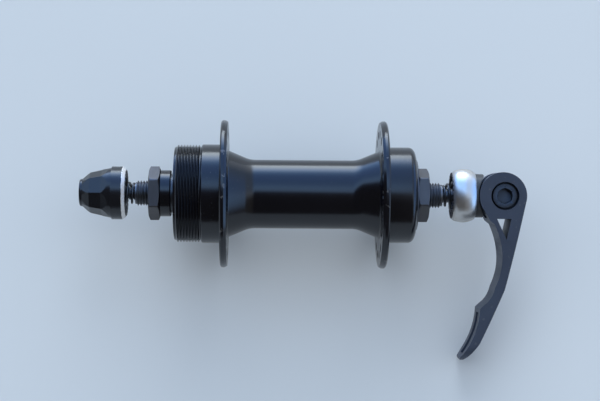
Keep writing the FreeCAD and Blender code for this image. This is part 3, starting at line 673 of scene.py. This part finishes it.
def polished_alloy():
    """Bare turned aluminium: bright, with the rings of the lathe, fine scratches and a few stains."""
    metal = Finish("polished_alloy")
    rings = metal.noise(metal.stretched((1.0, 45.0, 1.0)), 70.0, 3.0, 0.6)
    stains = metal.noise(metal.place(), 170.0, 4.0, 0.65)
    scratches = metal.noise(metal.stretched((6.0, 90.0, 6.0)), 90.0, 2.0)
    colour = metal.mixed(stains, (0.53, 0.515, 0.49, 1), (0.70, 0.68, 0.65, 1))
    return metal.surface(
        Base_Color=colour,
        Metallic=0.96 + stains * 0.04,
        Roughness=0.27 + rings * 0.14 + stains * 0.06,
        Normal=metal.bump(rings * 0.7 + scratches * 0.3, 0.008, 0.6),
    )


fitted(cap, "cap", "bright_alloy", polished_alloy(), "cam_cap")
dressed("cap_ring", black_steel)
groove_r = 11.5
groove_floor = -67.35
saddle_steps = [(-64.7, 2.8), (-64.7, 4.2), (-66.7, 4.2), (-66.7, 7.8), (-69.5, 7.8), (-69.8, 7.5),
                (-69.8, 2.8)]
saddle = turned("cam_saddle", saddle_steps, 96)
groove = turned("groove", [(-16.0, groove_r), (16.0, groove_r)], 160, solid=True)
cut(saddle, upright(groove, groove_floor - groove_r))
saddle_black = moulded("saddle_black", (0.028, 0.030, 0.033), 0.38)
fitted(eased(saddle, 0.1), "cap", "black_plastic", saddle_black, "saddle")


# Springs: two conical springs of dark wire, which push the cap and the nut outwards while the
# wheel is out. Each keeps the imported coil's form.
wire = steel("spring_wire", (0.10, 0.103, 0.11), 0.26, 0.1, 0.15)
for name, packed, body, inner, outer in (
    ("nut_spring", "left_spring", "left_spring_body", 55.1, 61.7),
    ("cap_spring", "right_spring", "cap", -55.1, -61.9),
):
    coil = bpy.data.objects.new(name, nodes[packed].data.copy())
    bpy.context.collection.objects.link(coil)
    coil.matrix_world = nodes[packed].matrix_world
    at_origin(coil)
    bpy.ops.object.mode_set(mode="EDIT")
    bpy.ops.mesh.select_all(action="SELECT")
    bpy.ops.mesh.remove_doubles(threshold=0.001 * MM)
    bpy.ops.object.mode_set(mode="OBJECT")
    bpy.ops.object.shade_smooth_by_angle(angle=math.radians(50))
    coil.data.materials.clear()
    coil.data.materials.append(wire)
    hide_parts(packed)
    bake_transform(coil)


# Setting: a pale blue-white table, a broad soft window on the far side with a bright line low on
# the horizon, and a darker room behind the camera, which looks square at the lever's face.
TABLE_SIZE = 6.0
TABLE_HEIGHT = -0.0265
none_selected()
bpy.ops.mesh.primitive_plane_add(size=TABLE_SIZE, location=(0, 0, TABLE_HEIGHT))
table = bpy.context.object
table.name = "table_top"
top = Finish("table_top_white")
cloud = top.noise(top.place(), 3.0, 3.0)
fine = top.noise(top.place(), 900.0, 2.0)
table.data.materials.append(top.surface(
    Base_Color=top.mixed(cloud, (0.582, 0.666, 0.757, 1), (0.637, 0.717, 0.809, 1)),
    Roughness=0.6 + fine * 0.1,
    Specular_IOR_Level=0.04,
    Normal=top.bump(fine, 0.01, 0.1),
))

world = bpy.data.worlds.new("room")
bpy.context.scene.world = world
world.use_nodes = True
world.node_tree.nodes.clear()
room = Finish("room", world.node_tree)


def held(value):
    """A value kept between 0 and 1."""
    return room.node("ShaderNodeClamp", None, {"Value": value})


# The room's light changes from the dark side behind the camera, at 0, over the top to the window
# side's horizon, at 1. Rough surfaces get the soft light, and mirroring ones show the sky.
facing = room.node("ShaderNodeTexCoord", output="Generated")
toward = room.node("ShaderNodeSeparateXYZ", None, {0: facing})
along = Strand(room, toward.socket.node.outputs[1])
up_and_over = toward * 0.5 + 0.5
soft = room.ramp(
    up_and_over,
    (0.0, (0.46, 0.45, 0.44)), (0.29, (0.46, 0.45, 0.44)), (0.354, (0.60, 0.60, 0.61)),
    (0.422, (0.95, 1.0, 1.05)), (0.60, (0.90, 0.96, 1.04)), (0.687, (0.58, 0.69, 0.83)),
    (0.854, (0.58, 0.69, 0.83)), (0.92, (1.4, 1.47, 1.53)), (0.945, (2.5, 2.53, 2.55)),
    (0.97, (4.8, 4.8, 4.8)), (0.983, (7.6, 7.5, 7.3)), (1.0, (8.4, 8.2, 8.0)),
)
# The sky's dark edge runs askew, and it is paler in a band toward the lever's end.
slant = held(along * -1.0) * 0.42 - held(along)
sky = room.ramp(
    up_and_over + slant * (1.0 - up_and_over),
    (0.0, (0.065, 0.065, 0.07)), (0.27, (0.065, 0.065, 0.08)), (0.365, (0.10, 0.11, 0.17)),
    (0.415, (0.95, 1.55, 2.6)), (0.51, (0.88, 1.58, 2.82)), (0.60, (0.60, 1.11, 2.22)),
    (0.688, (0.49, 0.98, 2.10)), (0.773, (0.53, 1.02, 2.3)), (0.852, (0.56, 1.11, 2.46)),
    (0.92, (1.0, 1.95, 3.8)), (0.972, (3.6, 4.9, 7.3)), (1.0, (5.7, 6.5, 7.2)),
)
lever_side = held(along * -10.0 - 0.9) * held(along * 8.0 + 5.9)
paler = room.ramp(
    up_and_over,
    (0.0, (0.18, 0.175, 0.165)), (0.20, (0.22, 0.215, 0.21)), (0.27, (0.50, 0.55, 0.63)),
    (0.34, (0.90, 1.06, 1.30)), (0.45, (0.68, 0.90, 1.28)), (0.85, (0.56, 0.80, 1.20)),
    (0.95, (1.2, 1.4, 1.7)), (1.0, (2.2, 2.5, 2.8)),
)
sky = room.mixed(lever_side, sky, paler)
mirrored = room.node("ShaderNodeLightPath", output="Is Glossy Ray")
seen = room.node("ShaderNodeLightPath", output="Is Camera Ray")
colour = room.mixed(mirrored, soft, sky)
colour = room.mixed(seen, colour, (0.60, 0.71, 0.86, 1))
backdrop = room.node("ShaderNodeBackground", None, {"Color": colour, "Strength": 1.0})
room.node("ShaderNodeOutputWorld", None, {"Surface": backdrop})


LAMP_PLACE = (0.6, -0.02, 0.5)
LAMP_SIZE = 0.4
LAMP_WATTS = 0.9
none_selected()
bpy.ops.object.light_add(type="AREA", location=LAMP_PLACE)
lamp = bpy.context.object
lamp.name = "window_lamp"
lamp.data.shape = "RECTANGLE"
lamp.data.size = LAMP_SIZE
lamp.data.size_y = LAMP_SIZE
lamp.data.energy = LAMP_WATTS
lamp.data.color = (0.95, 0.98, 1.0)
lamp.rotation_euler = Vector(LAMP_PLACE).to_track_quat("Z", "X").to_euler()
lamp.visible_glossy = False

LENS_MM = 96.0
SENSOR_MM = 36.0
PICTURE_WIDTH = 600
CAMERA_HEIGHT = 0.575
CAMERA_ALONG = 0.0074
CAMERA_ACROSS = -0.0023
PIXEL_SHIFT = 32.0
ROLL_DEG = 0.465
camera_data = bpy.data.cameras.new("camera")
camera = bpy.data.objects.new("camera", camera_data)
bpy.context.collection.objects.link(camera)
camera_data.lens = LENS_MM
camera_data.sensor_width = SENSOR_MM
camera_data.shift_x = PIXEL_SHIFT / PICTURE_WIDTH
lean = Matrix.Rotation(-LEAN, 4, "Y")
stand = Matrix.Translation((CAMERA_ACROSS, CAMERA_ALONG, CAMERA_HEIGHT))
roll = Matrix.Rotation(math.radians(-90 + ROLL_DEG), 4, "Z")
camera.matrix_world = lean @ stand @ roll
bpy.context.scene.camera = camera
bpy.context.scene.view_settings.view_transform = "Standard"
